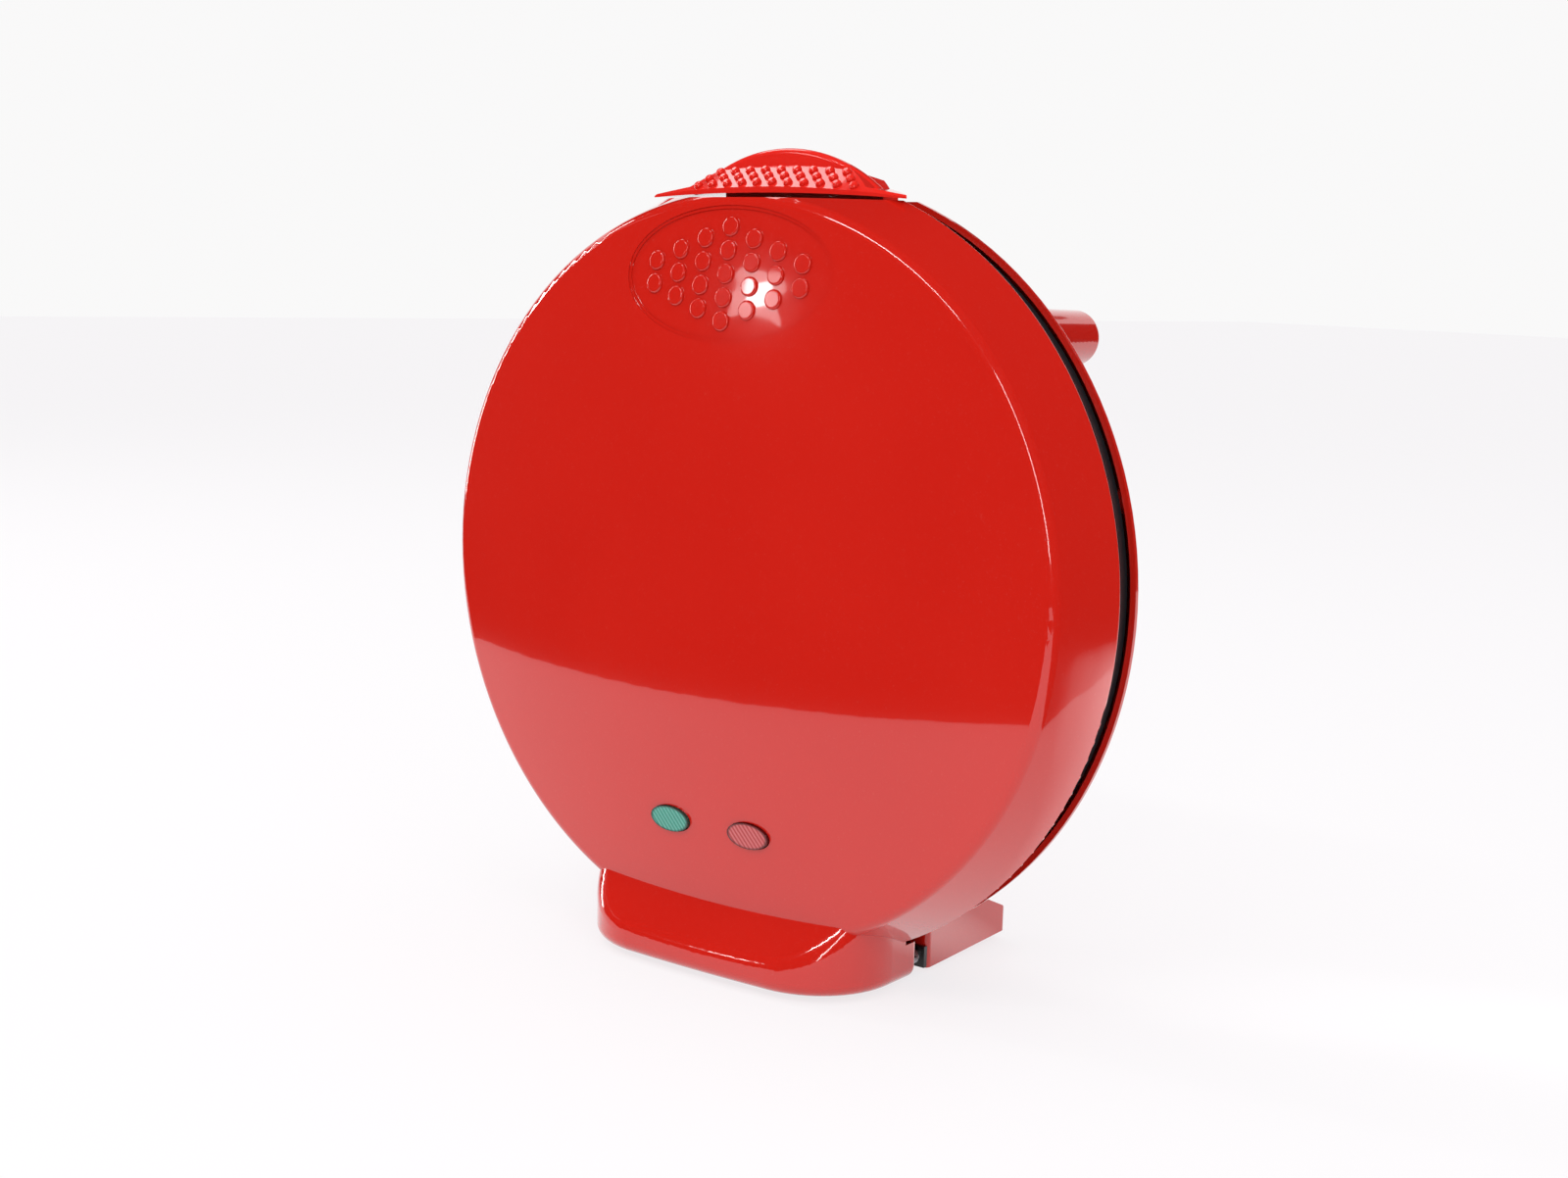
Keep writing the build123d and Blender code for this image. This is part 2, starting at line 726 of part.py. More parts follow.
with BuildPart() as shelf:
    with BuildSketch(bow_start):
        with BuildLine():
            Polyline(
                (lip_front, handle_bow_radius - shelf_depth),
                (lip_front, handle_bow_radius),
                (shelf_back, handle_bow_radius + shelf_rise),
                (handle_rear, handle_bow_radius + shelf_rise / 2),
                (handle_rear, handle_bow_radius - shelf_depth),
                close=True,
            )
        make_face()
    revolve(axis=bow_axis, revolution_arc=2 * bow_angle)
    with BuildSketch(Plane.XY.offset(centre_height)):
        with BuildLine():
            tip = (handle_half_width, lip_front + handle_lip_setback)
            other_tip = (-handle_half_width, lip_front + handle_lip_setback)
            ThreePointArc(other_tip, (0, lip_front), tip)
            ThreePointArc(tip, (0, handle_rear), other_tip)
        make_face()
    extrude(amount=crown_top, mode=Mode.INTERSECT)
    with BuildSketch(Plane.XZ.offset(-handle_rear - handle_margin)):
        with BuildLine():
            left_foot = (-shelf_foot, lip_top)
            right_foot = (shelf_foot, lip_top)
            ThreePointArc(left_foot, (0, crown_top - crown_proud), right_foot)
            outline = Polyline(
                right_foot,
                (tip_reach, tip_rise + handle_lip_thickness / 2),
                (tip_reach, tip_rise),
            )
            ThreePointArc(outline @ 1, (0, lip_bottom), (-tip_reach, tip_rise))
            Polyline(
                (-tip_reach, tip_rise),
                (-tip_reach, tip_rise + handle_lip_thickness / 2),
                left_foot,
            )
        make_face()
    extrude(amount=handle_rear - lip_front + 2 * handle_margin, mode=Mode.INTERSECT)

with BuildPart() as crown:
    with BuildSketch(Plane.XZ.offset(-shelf_back - crown_setback)):
        with BuildLine():
            arc = ThreePointArc((-crown_foot, crown_base), (0, crown_top), (crown_foot, crown_base))
            Line(arc @ 1, arc @ 0)
        make_face()
    extrude(amount=-crown_thickness)
    fillet(crown.edges().filter_by(GeomType.CIRCLE), crown_rounding)

with BuildPart() as bump:
    Cylinder(bump_radius, 2 * bump_height)
    fillet(bump.edges().sort_by(Axis.Z)[-1], bump_rounding)

bump_planes = []
shelf_angle = atan2(shelf_rise, shelf_run)
for row, count in enumerate(bump_rows):
    along = bump_row_start + row * bump_row_spacing
    for column in range(count):
        across = (column - (count - 1) / 2) * bump_spacing
        setback = handle_lip_setback * (across / handle_half_width) ** 2
        turn = across / handle_bow_radius
        y = lip_front + setback + along * cos(shelf_angle)
        reach = handle_bow_radius + (y - lip_front) * shelf_rise / shelf_run
        outwards = Vector(sin(turn), 0, cos(turn))
        normal = outwards * cos(shelf_angle) - Vector(0, sin(shelf_angle), 0)
        seat = Vector(0, y, bow_centre) + outwards * reach
        bump_planes.append(Plane(origin=seat, z_dir=normal))

with BuildPart() as handle:
    add(shelf.part)
    with BuildSketch(Plane.XY.offset(handle_seat)):
        with Locations((0, base_edge)):
            Rectangle(2 * root_half_width, handle_rear - base_edge, align=(Align.CENTER, Align.MIN))
    extrude(amount=crown_base - handle_seat)
    add(handle_holes.part, mode=Mode.SUBTRACT)
    add(crown.part)
    with Locations(*bump_planes):
        add(bump.part)
save(handle.part, "handle")

# ---- Cooking plates ----
flange_places = [(0, -flange_screw_offset), (0, flange_screw_offset)]
pilot_depth = short_screw_length - flange_thickness


def cooking_plate(face, pilot_places=()):
    """Plate with wedge-shaped wells in its face, and screw studs and pilot holes in its back."""
    outer_angle = 180 / wedge_count - degrees(asin(rib_half_width / well_radius))
    with BuildSketch() as wedge:
        with BuildLine():
            apex = (rib_half_width / sin(radians(180 / wedge_count)), 0)
            Line(apex, on_circle(well_radius, outer_angle))
            ThreePointArc(
                on_circle(well_radius, outer_angle),
                (well_radius, 0),
                on_circle(well_radius, -outer_angle),
            )
            Line(on_circle(well_radius, -outer_angle), apex)
        make_face()
        fillet(wedge.vertices(), well_rounding)
    back = face.offset(plate_thickness)
    with BuildPart() as plate:
        with BuildSketch(face):
            Circle(plate_radius)
            with Locations((0, flat_height - plate_flat_margin)):
                Rectangle(
                    2 * plate_radius,
                    plate_radius,
                    align=(Align.CENTER, Align.MIN),
                    mode=Mode.SUBTRACT,
                )
        extrude(amount=plate_thickness)
        with BuildSketch(face):
            with PolarLocations(0, wedge_count):
                add(wedge.sketch)
        extrude(amount=well_depth, taper=well_draft, mode=Mode.SUBTRACT)
        with BuildSketch(back):
            with Locations(*[on_circle(stud_circle, angle) for angle in stud_angles]):
                Circle(stud_radius)
        extrude(amount=2 * element_radius)
        for radius, depth in (
            (screw_radius + screw_clearance, plate_thickness),
            (screw_head_radius + counterbore_clearance, counterbore_depth),
        ):
            with BuildSketch(face):
                with Locations(*post_places):
                    Circle(radius)
            extrude(amount=depth, mode=Mode.SUBTRACT)
        with BuildSketch(face.offset(plate_thickness + 2 * element_radius)):
            with Locations(*[on_circle(stud_circle, angle) for angle in stud_angles]):
                Circle(screw_radius)
        extrude(amount=-short_screw_length, mode=Mode.SUBTRACT)
        for place in pilot_places:
            with BuildSketch(back):
                with Locations(place):
                    Circle(screw_radius)
            extrude(amount=-pilot_depth, mode=Mode.SUBTRACT)
    return plate.part


def heating_element(face):
    """Sheathed heating ring with a connection pin at each end, lying on the plate's back."""
    with BuildPart() as element:
        with BuildLine(face.offset(plate_thickness + element_radius)) as path:
            ring = CenterArc((0, 0), element_circle, 270 + element_gap_angle / 2, 360 - element_gap_angle)
        with BuildSketch(Plane(origin=ring @ 0, z_dir=ring % 0)):
            Circle(element_radius)
        sweep()
        pin_starts = (Plane(origin=ring @ 0, z_dir=-(ring % 0)), Plane(origin=ring @ 1, z_dir=ring % 1))
        with Locations(*pin_starts):
            Cylinder(pin_radius, pin_length, align=(Align.CENTER, Align.CENTER, Align.MIN))
    return element.part


def reflector(face, window):
    """Shallow dish over the heating ring, notched for the pins, with a window if it has a size."""
    floor = face.offset(plate_thickness + 2 * element_radius)
    with BuildPart() as dish:
        with BuildSketch(floor):
            Circle(reflector_radius)
        extrude(amount=reflector_thickness)
        with BuildSketch(floor):
            Circle(reflector_radius)
            Circle(reflector_radius - reflector_thickness, mode=Mode.SUBTRACT)
        extrude(amount=-reflector_skirt)
        with BuildSketch(floor.offset(-reflector_skirt)):
            with Locations((0, -element_circle)):
                Rectangle(reflector_notch_width, 2 * reflector_notch_reach)
            with Locations(*[on_circle(stud_circle, angle) for angle in stud_angles]):
                Circle(screw_radius + screw_clearance)
            if window:
                Circle(window)
        extrude(amount=reflector_skirt + reflector_thickness, mode=Mode.SUBTRACT)
    return dish.part


upper_side = facing_front(upper_face)
lower_side = facing_back(lower_face)
stack_depth = plate_thickness + 2 * element_radius + reflector_thickness

save(cooking_plate(upper_side), "upper_plate")
save(cooking_plate(lower_side, flange_places), "lower_plate")
save(heating_element(upper_side), "upper_heating_element")
save(heating_element(lower_side), "lower_heating_element")
save(reflector(upper_side, 0), "upper_reflector")
save(reflector(lower_side, thermostat_window), "lower_reflector")


def seats(side, depth, places, into=1):
    """Planes for screws at a depth behind a side, with heads towards that side if into is 1."""
    level = side.offset(depth)
    return [Plane(origin=level.from_local_coords((x, y, 0)), z_dir=side.z_dir * -into) for x, y in places]


stud_places = [on_circle(stud_circle, angle) for angle in stud_angles]
save(screws(seats(upper_side, counterbore_depth, post_places), screw_length), "upper_plate_screws")
save(screws(seats(lower_side, counterbore_depth, post_places), screw_length), "lower_plate_screws")
save(screws(seats(upper_side, stack_depth, stud_places, -1), short_screw_length), "upper_reflector_screws")
save(screws(seats(lower_side, stack_depth, stud_places, -1), short_screw_length), "lower_reflector_screws")
inside = facing_back(0)
save(screws(seats(inside, leg_boss, leg_places), long_screw_length), "leg_screws")
save(screws(seats(inside, stand_boss, stand_places), long_screw_length), "stand_screws")
handle_screw_planes = [
    Plane(origin=(x, handle_screw_y, handle_screw_seat), z_dir=(0, 0, -1))
    for x in (-handle_screw_offset, handle_screw_offset)
]
save(screws(handle_screw_planes, screw_length), "handle_screws")

# ---- Thermostat, fuse and terminals ----
lower_rear = lower_side.offset(plate_thickness)

with BuildPart() as thermostat:
    with BuildSketch(lower_rear):
        SlotOverall(flange_length, flange_width, rotation=90)
    extrude(amount=flange_thickness)
    with BuildSketch(lower_rear):
        Circle(thermostat_radius)
    extrude(amount=thermostat_height)
    with BuildSketch(lower_rear):
        with Locations(*flange_places):
            Circle(screw_radius + flange_hole_clearance)
    extrude(amount=flange_thickness, mode=Mode.SUBTRACT)
save(thermostat.part, "thermostat")
save(
    screws(seats(lower_rear, flange_thickness, flange_places, -1), short_screw_length),
    "thermostat_screws",
)

fuse_y = lower_face + stack_depth + fuse_radius
with BuildPart() as thermal_fuse:
    with BuildSketch(Plane.YZ.offset(fuse_offset - fuse_length / 2)):
        with Locations((fuse_y, centre_height - fuse_drop)):
            Circle(fuse_radius)
    extrude(amount=fuse_length)
save(thermal_fuse.part, "thermal_fuse")

with BuildPart() as terminal_block:
    with BuildSketch(facing_back(block_face)):
        with Locations((0, -block_drop)):
            RectangleRounded(block_width, block_height, block_rounding)
        with Locations(*block_places):
            Circle(screw_radius + screw_clearance, mode=Mode.SUBTRACT)
    extrude(amount=block_depth)
save(terminal_block.part, "terminal_block")
block_screw_length = block_depth + base_wall / 2
save(screws(seats(inside, block_face, block_places), block_screw_length), "terminal_screws")

# ---- Signal lights ----
lens_back = facing_front(lens_seat + lens_flange_thickness)
lamp_front = lens_seat + lens_flange_thickness + lamp_setback
lamp_back = lamp_front + lamp_length


def lens(place):
    """Oval light cover that follows the dome, with a flange inside the lid and a hollow back."""
    with BuildPart() as flange:
        with BuildSketch(lens_back):
            with Locations(place):
                Ellipse(lens_half_width + lens_flange, lens_half_height + lens_flange)
        extrude(amount=lid_crown_depth)
        add(lid_form(lid_wall), mode=Mode.INTERSECT)
    with BuildPart() as cover:
        with BuildSketch(lens_back):
            with Locations(place):
                Ellipse(lens_half_width, lens_half_height)
        extrude(amount=lid_crown_depth)
        with Locations(dome_centre):
            Sphere(dome_radius + lens_proud, mode=Mode.INTERSECT)
        add(flange.part)
        with BuildSketch(lens_back):
            with Locations(place):
                Ellipse(lens_half_width - lens_wall, lens_half_height - lens_wall)
        extrude(amount=lens_hollow_depth, mode=Mode.SUBTRACT)
    return cover.part


def lamp(place):
    """Indicator lamp, a small round tube behind the light cover."""
    with BuildPart() as tube:
        with BuildSketch(facing_front(lamp_back)):
            with Locations(place):
                Circle(lamp_radius)
        extrude(amount=lamp_length)
        fillet(tube.edges().sort_by(Axis.Y)[0], lamp_rounding)
    return tube.part


for place, light in zip(light_places, ("ready", "power")):
    save(lens(place), f"{light}_light_lens")
    save(lamp(place), f"{light}_lamp")

with BuildPart() as lamp_holder:
    with BuildSketch(facing_front(holder_face + holder_thickness)):
        with Locations((0, -light_drop)):
            RectangleRounded(holder_width, holder_height, holder_rounding)
        with Locations(*light_places):
            Circle(lamp_radius + lamp_clearance, mode=Mode.SUBTRACT)
        with Locations(*holder_places):
            Circle(screw_radius + screw_clearance, mode=Mode.SUBTRACT)
    extrude(amount=holder_thickness)
save(lamp_holder.part, "lamp_holder")
holder_back = facing_front(holder_face + holder_thickness)
save(screws(seats(holder_back, 0, holder_places), short_screw_length), "lamp_holder_screws")

# ---- Wires ----
pin_turn = element_gap_angle / 2
pin_reach = pin_length + wire_radius + wire_gap
wire_across = element_circle * sin(radians(pin_turn)) - pin_reach * cos(radians(pin_turn))
wire_drop = element_circle * cos(radians(pin_turn)) + pin_reach * sin(radians(pin_turn))
wire_height = centre_height - wire_drop
upper_pin_y = upper_back - element_radius
lower_pin_y = lower_back + element_radius

with BuildPart() as lid_wiring:
    for side in (-1, 1):
        pin_end = Vector(side * wire_across, upper_pin_y, wire_height)
        lamp_end = Vector(
            side * light_half_spacing,
            lamp_back + wire_radius + wire_gap,
            centre_height - light_drop,
        )
        run = pin_end - lamp_end
        with BuildSketch(Plane(origin=lamp_end, z_dir=run)):
            Circle(wire_radius)
        extrude(amount=run.length)
save(lid_wiring.part, "lid_wiring")

with BuildPart() as base_wiring:
    for side in (-1, 1):
        block_end = centre_height - block_drop - block_height / 2 - wire_gap
        block_middle = block_face + block_depth / 2
        with BuildLine() as wire_path:
            FilletPolyline(
                (side * wire_across, lower_pin_y - pin_radius, wire_height),
                (side * wire_across, block_middle, wire_height),
                (side * wire_spacing / 2, block_middle, block_end),
                radius=wire_bend,
            )
        with BuildSketch(Plane(origin=wire_path.line @ 0, z_dir=wire_path.line % 0)):
            Circle(wire_radius)
        sweep(path=wire_path.line)
save(base_wiring.part, "base_wiring")

# ---- Hinge ----
pin_end_x = foot_half_width - pin_blind_wall - pin_end_gap

for side, name in ((-1, "left"), (1, "right")):
    with BuildPart() as bracket:
        with BuildSketch(Plane.YZ.offset(side * barrel_start)):
            with Locations((hinge_y, hinge_height)):
                Circle(hinge_barrel_radius)
            with Locations((hinge_y, hinge_height - hinge_arm_drop)):
                Rectangle(
                    stand_face - hinge_y,
                    hinge_arm_drop + hinge_barrel_radius,
                    align=(Align.MIN, Align.MIN),
                )
        extrude(amount=side * hinge_arm_width)
        with BuildSketch(facing_front(stand_face)):
            with Locations((side * barrel_start, hinge_flange_bottom - centre_height)):
                Rectangle(
                    hinge_flange_width,
                    hinge_flange_top - hinge_flange_bottom,
                    align=(Align.MIN if side > 0 else Align.MAX, Align.MIN),
                )
        extrude(amount=hinge_flange_thickness)
        with BuildSketch(facing_front(stand_face)):
            with Locations((side * hinge_screw_offset, -hinge_screw_drop)):
                Circle(screw_radius + screw_clearance)
        extrude(amount=hinge_flange_thickness, mode=Mode.SUBTRACT)
        with BuildSketch(Plane.YZ.offset(side * barrel_start)):
            with Locations((hinge_y, hinge_height)):
                Circle(hinge_pin_radius)
        extrude(amount=side * hinge_arm_width, mode=Mode.SUBTRACT)
    save(bracket.part, f"hinge_bracket_{name}")
    with BuildPart() as pin:
        with BuildSketch(Plane.YZ.offset(side * barrel_start)):
            with Locations((hinge_y, hinge_height)):
                Circle(hinge_pin_radius)
        extrude(amount=side * (pin_end_x - barrel_start))
    save(pin.part, f"hinge_pin_{name}")

hinge_face = facing_front(stand_face)
save(
    screws(seats(hinge_face, hinge_flange_thickness, hinge_screw_places, -1), short_screw_length),
    "hinge_screws",
)
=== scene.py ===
import json
import math

import bpy
from mathutils import Matrix, Vector


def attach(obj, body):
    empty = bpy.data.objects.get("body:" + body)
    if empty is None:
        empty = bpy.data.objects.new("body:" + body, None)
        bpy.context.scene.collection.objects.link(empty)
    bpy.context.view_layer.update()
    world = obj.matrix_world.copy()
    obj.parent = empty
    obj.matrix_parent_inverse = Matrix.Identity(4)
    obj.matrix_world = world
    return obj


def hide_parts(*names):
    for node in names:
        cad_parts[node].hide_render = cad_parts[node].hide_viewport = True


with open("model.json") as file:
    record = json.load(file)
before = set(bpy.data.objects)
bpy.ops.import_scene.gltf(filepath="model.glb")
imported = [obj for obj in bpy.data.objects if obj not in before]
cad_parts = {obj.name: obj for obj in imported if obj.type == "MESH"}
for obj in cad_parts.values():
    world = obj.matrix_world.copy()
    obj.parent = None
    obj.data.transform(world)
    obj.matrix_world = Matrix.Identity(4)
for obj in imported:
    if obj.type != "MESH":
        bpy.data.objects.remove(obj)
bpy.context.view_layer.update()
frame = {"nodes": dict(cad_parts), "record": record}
nodes = frame["nodes"]
scene = bpy.context.scene

# The cooker stands on its hinge end: X runs across it, -Y out of the lid and Z up. Metres.
LID_EDGE_Y = -0.017
LID_CROWN_DEPTH = 0.0425
BODY_CENTRE_Z = 0.157
BODY_MIDDLE = (0, 0, BODY_CENTRE_Z)
# sphere that the lid's domed face lies on
DOME_RADIUS = 0.78009
DOME_CENTRE = Vector((0, LID_EDGE_Y - LID_CROWN_DEPTH + DOME_RADIUS, BODY_CENTRE_Z))
ON_DOME_TOLERANCE = 0.00002
MERGE_DISTANCE = 0.000001
# the two signal lights in the lid
LIGHT_HALF_SPACING = 0.0194
LIGHT_HEIGHT = 0.059
LENS_HALF_SIZE = (0.0096, 0.0051)

# ---- Camera at the photo's viewpoint ----
CAMERA_PLACE = (0.49765, -0.67517, 0.27829)
CAMERA_RIGHT = Vector((0.79858, 0.60136, 0.02603))
CAMERA_UP = Vector((-0.11374, 0.10830, 0.98755))
CAMERA_BACK = Vector((0.5910, -0.7916, 0.15488))
CAMERA_LENS = 48.4
CAMERA_SENSOR = 36
CAMERA_NEAR = 0.01

camera = bpy.data.objects.new("camera", bpy.data.cameras.new("camera"))
scene.collection.objects.link(camera)
camera.data.sensor_width = CAMERA_SENSOR
camera.data.lens = CAMERA_LENS
camera.data.clip_start = CAMERA_NEAR
camera.matrix_world = Matrix.Translation(CAMERA_PLACE) @ Matrix(
    (CAMERA_RIGHT, CAMERA_UP, CAMERA_BACK)
).transposed().to_4x4()
scene.camera = camera
scene.view_settings.view_transform = "Standard"


# ---- Materials ----
# a Mix node's colour sockets, which share their names with its other sockets
MIX_A = 6
MIX_B = 7
MIX_RESULT = 2
# the Wave texture runs through 20 radians in each unit of its scaled place
WAVE_RADIANS = 20


def linear(hex_colour):
    """sRGB hex colour as linear RGBA."""
    channels = [int(hex_colour[i : i + 2], 16) / 255 for i in (1, 3, 5)]
    lit = [c / 12.92 if c <= 0.04045 else ((c + 0.055) / 1.055) ** 2.4 for c in channels]
    return (*lit, 1.0)


def add_node(owner, kind, settings=None, links=None):
    """Adds a node to a material or world.

    Settings are values of its sockets or of its own properties, links are sources of its
    inputs. A socket is given by its name or its number.
    """
    tree = owner.node_tree
    node = tree.nodes.new(kind)
    for name, value in (settings or {}).items():
        if isinstance(name, int) or name in node.inputs:
            node.inputs[name].default_value = value
        else:
            setattr(node, name, value)
    for name, source in (links or {}).items():
        tree.links.new(source, node.inputs[name])
    return node


def emptied(owner):
    """The material or world with its default nodes cleared."""
    owner.use_nodes = True
    owner.node_tree.nodes.clear()
    return owner


def new_material(name):
    """Material without nodes."""
    return emptied(bpy.data.materials.new(name))


def close(material, shader):
    """Joins the shader to the material's output."""
    add_node(material, "ShaderNodeOutputMaterial", links={"Surface": shader})
    return material


def pattern_scale(millimetres):
    """Scale of a noise texture on Object coordinates for a pattern of this size."""
    return 1000 / millimetres


def wave_scale(millimetres):
    """Scale of a wave texture on Object coordinates for bands this far apart."""
    return 2 * math.pi / WAVE_RADIANS * pattern_scale(millimetres)


def seen_or_mirrored(owner):
    """Socket that is 1 for what the camera sees, also in mirrors and through glass."""
    path = add_node(owner, "ShaderNodeLightPath")
    seen = add_node(
        owner,
        "ShaderNodeMath",
        {"operation": "MAXIMUM"},
        {0: path.outputs["Is Camera Ray"], 1: path.outputs["Is Glossy Ray"]},
    )
    either = add_node(
        owner,
        "ShaderNodeMath",
        {"operation": "MAXIMUM"},
        {0: seen.outputs[0], 1: path.outputs["Is Transmission Ray"]},
    )
    return either.outputs[0]


def lacquered_plastic(name, colour, dust, ripple, coat):
    """Moulded ABS with a clear lacquer: mirror-like, with a faint ripple and a little dust."""
    material = new_material(name)
    place = add_node(material, "ShaderNodeTexCoord").outputs["Object"]
    # ripple of the lacquer, 9 mm from crest to crest, that softens the edges of reflections
    wave = add_node(
        material,
        "ShaderNodeTexNoise",
        {"Scale": pattern_scale(9), "Detail": 1.0, "Roughness": 0.4},
        {"Vector": place},
    )
    bump = add_node(
        material,
        "ShaderNodeBump",
        {"Strength": ripple, "Distance": 0.00005},
        {"Height": wave.outputs["Fac"]},
    )
    # dust and fine handling marks, drawn at 0.9 mm so that they show
    grit = add_node(
        material,
        "ShaderNodeTexNoise",
        {"Scale": pattern_scale(0.9), "Detail": 3.0, "Roughness": 0.65},
        {"Vector": place},
    )
    dusty = add_node(
        material,
        "ShaderNodeMapRange",
        {"From Min": 0.60, "From Max": 0.80, "To Min": 0.0, "To Max": dust},
        {"Value": grit.outputs["Fac"]},
    )
    # pigment that varies a little over 70 mm
    cloud = add_node(
        material,
        "ShaderNodeTexNoise",
        {"Scale": pattern_scale(70), "Detail": 1.0},
        {"Vector": place},
    )
    deep, pale = colour
    pigment = add_node(
        material,
        "ShaderNodeMix",
        {"data_type": "RGBA", MIX_A: linear(deep), MIX_B: linear(pale)},
        {"Factor": cloud.outputs["Fac"]},
    )
    dusted = add_node(
        material,
        "ShaderNodeMix",
        {"data_type": "RGBA", MIX_B: linear("#e8b8b0")},
        {"Factor": dusty.outputs["Result"], MIX_A: pigment.outputs[MIX_RESULT]},
    )
    rough = add_node(
        material,
        "ShaderNodeMapRange",
        {"From Min": 0.3, "From Max": 0.8, "To Min": 0.10, "To Max": 0.20},
        {"Value": grit.outputs["Fac"]},
    )
    shader = add_node(
        material,
        "ShaderNodeBsdfPrincipled",
        {
            "IOR": 1.5,
            "Specular IOR Level": 0.2,
            "Coat Weight": coat,
            "Coat Roughness": 0.03,
            "Coat IOR": 1.6,
        },
        {
            "Base Color": dusted.outputs[MIX_RESULT],
            "Roughness": rough.outputs["Result"],
            "Normal": bump.outputs["Normal"],
            "Coat Normal": bump.outputs["Normal"],
        },
    )
    return close(material, shader.outputs["BSDF"])


def grained(name, dark, light, grain, roughness, depth, metallic=0.0, stretch=(1, 1, 1)):
    """Material with a fine grain in its colour, roughness and surface.

    The grain is in millimetres and its depth in metres. The IOR is about that of the
    plastics, rubber and paint here, and is the default, which a metal keeps.
    """
    material = new_material(name)
    place = add_node(material, "ShaderNodeTexCoord").outputs["Object"]
    turned = add_node(material, "ShaderNodeMapping", {"Scale": stretch}, {"Vector": place})
    noise = add_node(
        material,
        "ShaderNodeTexNoise",
        {"Scale": pattern_scale(grain), "Detail": 4.0, "Roughness": 0.6},
        {"Vector": turned.outputs["Vector"]},
    )
    colour = add_node(
        material,
        "ShaderNodeMix",
        {"data_type": "RGBA", MIX_A: linear(dark), MIX_B: linear(light)},
        {"Factor": noise.outputs["Fac"]},
    )
    low, high = roughness
    rough = add_node(
        material,
        "ShaderNodeMapRange",
        {"From Min": 0.3, "From Max": 0.7, "To Min": low, "To Max": high},
        {"Value": noise.outputs["Fac"]},
    )
    bump = add_node(
        material,
        "ShaderNodeBump",
        {"Strength": 0.5, "Distance": depth},
        {"Height": noise.outputs["Fac"]},
    )
    shader = add_node(
        material,
        "ShaderNodeBsdfPrincipled",
        {"Metallic": metallic, "IOR": 1.5},
        {
            "Base Color": colour.outputs[MIX_RESULT],
            "Roughness": rough.outputs["Result"],
            "Normal": bump.outputs["Normal"],
        },
    )
    return close(material, shader.outputs["BSDF"])


def ribbed_acrylic(name, dark, light, edge, centre_x):
    """Tinted acrylic light cover with fine slanting ribs in its face and painted shade at its
    edge, in the colour edge.
    """
    material = new_material(name)
    place = add_node(material, "ShaderNodeTexCoord").outputs["Object"]
    slanted = add_node(
        material,
        "ShaderNodeMapping",
        {"Rotation": (0, math.radians(38), 0)},
        {"Vector": place},
    )
    # ribs 1.6 mm apart
    ribs = add_node(
        material,
        "ShaderNodeTexWave",
        {"Scale": wave_scale(1.6), "Distortion": 0.0, "bands_direction": "X"},
        {"Vector": slanted.outputs["Vector"]},
    )
    colour = add_node(
        material,
        "ShaderNodeMix",
        {"data_type": "RGBA", MIX_A: linear(dark), MIX_B: linear(light)},
        {"Factor": ribs.outputs["Fac"]},
    )
    # painted shade: the edge is drawn darker, where the cover is deep and nothing behind it is
    # lit
    across, up = LENS_HALF_SIZE
    oval = add_node(
        material,
        "ShaderNodeMapping",
        {
            "Location": (-centre_x / across, 0, -LIGHT_HEIGHT / up),
            "Scale": (1 / across, 0, 1 / up),
        },
        {"Vector": place},
    )
    reach = add_node(
        material,
        "ShaderNodeVectorMath",
        {"operation": "LENGTH"},
        {"Vector": oval.outputs["Vector"]},
    )
    edge_shade_mask = add_node(
        material,
        "ShaderNodeMapRange",
        {"From Min": 0.84, "From Max": 0.97},
        {"Value": reach.outputs["Value"]},
    )
    painted_edge_shade = add_node(
        material,
        "ShaderNodeMix",
        {"data_type": "RGBA", MIX_B: linear(edge)},
        {"Factor": edge_shade_mask.outputs["Result"], MIX_A: colour.outputs[MIX_RESULT]},
    )
    bump = add_node(
        material,
        "ShaderNodeBump",
        {"Strength": 0.6, "Distance": 0.0002},
        {"Height": ribs.outputs["Fac"]},
    )
    shader = add_node(
        material,
        "ShaderNodeBsdfPrincipled",
        {"IOR": 1.49, "Roughness": 0.12, "Transmission Weight": 0.25},
        {"Base Color": painted_edge_shade.outputs[MIX_RESULT], "Normal": bump.outputs["Normal"]},
    )
    return close(material, shader.outputs["BSDF"])


# red shells, foot, stand and legs: deep gloss with a clean mirror image in it
red_lacquer = lacquered_plastic(
    "red_lacquered_abs", ("#bc180e", "#c31e13"), dust=0.04, ripple=0.3, coat=1.0
)
# handle: the same plastic with a brighter colour that paints in the extra light from above and
# in front, and less glossy
red_handle = lacquered_plastic(
    "red_handle_painted_brighter", ("#d62018", "#dc261c"), dust=0.04, ripple=0.4, coat=0.8
)
# baked PTFE coating on the cast aluminium plates: charcoal, satin, very finely speckled
nonstick = grained("ptfe_nonstick_coating", "#17171a", "#2b2b2f", 0.7, (0.32, 0.48), 0.00003)
# zinc-plated steel of the screws, pins and thermostat: pale grey, bright, faintly mottled
zinc = grained(
    "zinc_plated_steel", "#a9acb0", "#c7cacd", 0.5, (0.22, 0.36), 0.00001, metallic=1.0
)
# heat-darkened steel sheath of the heating rings: brownish grey with a dull shine
sheath = grained(
    "heat_darkened_steel", "#4a4541", "#6b645d", 1.6, (0.35, 0.5), 0.00002, metallic=1.0
)
# rolled aluminium sheet: pale and bright, streaked along X by its rolling lines
rolled_aluminium = grained(
    "rolled_aluminium",
    "#c2c4c7",
    "#dcdee0",
    1.0,
    (0.25, 0.4),
    0.00001,
    metallic=1.0,
    stretch=(0.05, 1, 1),
)
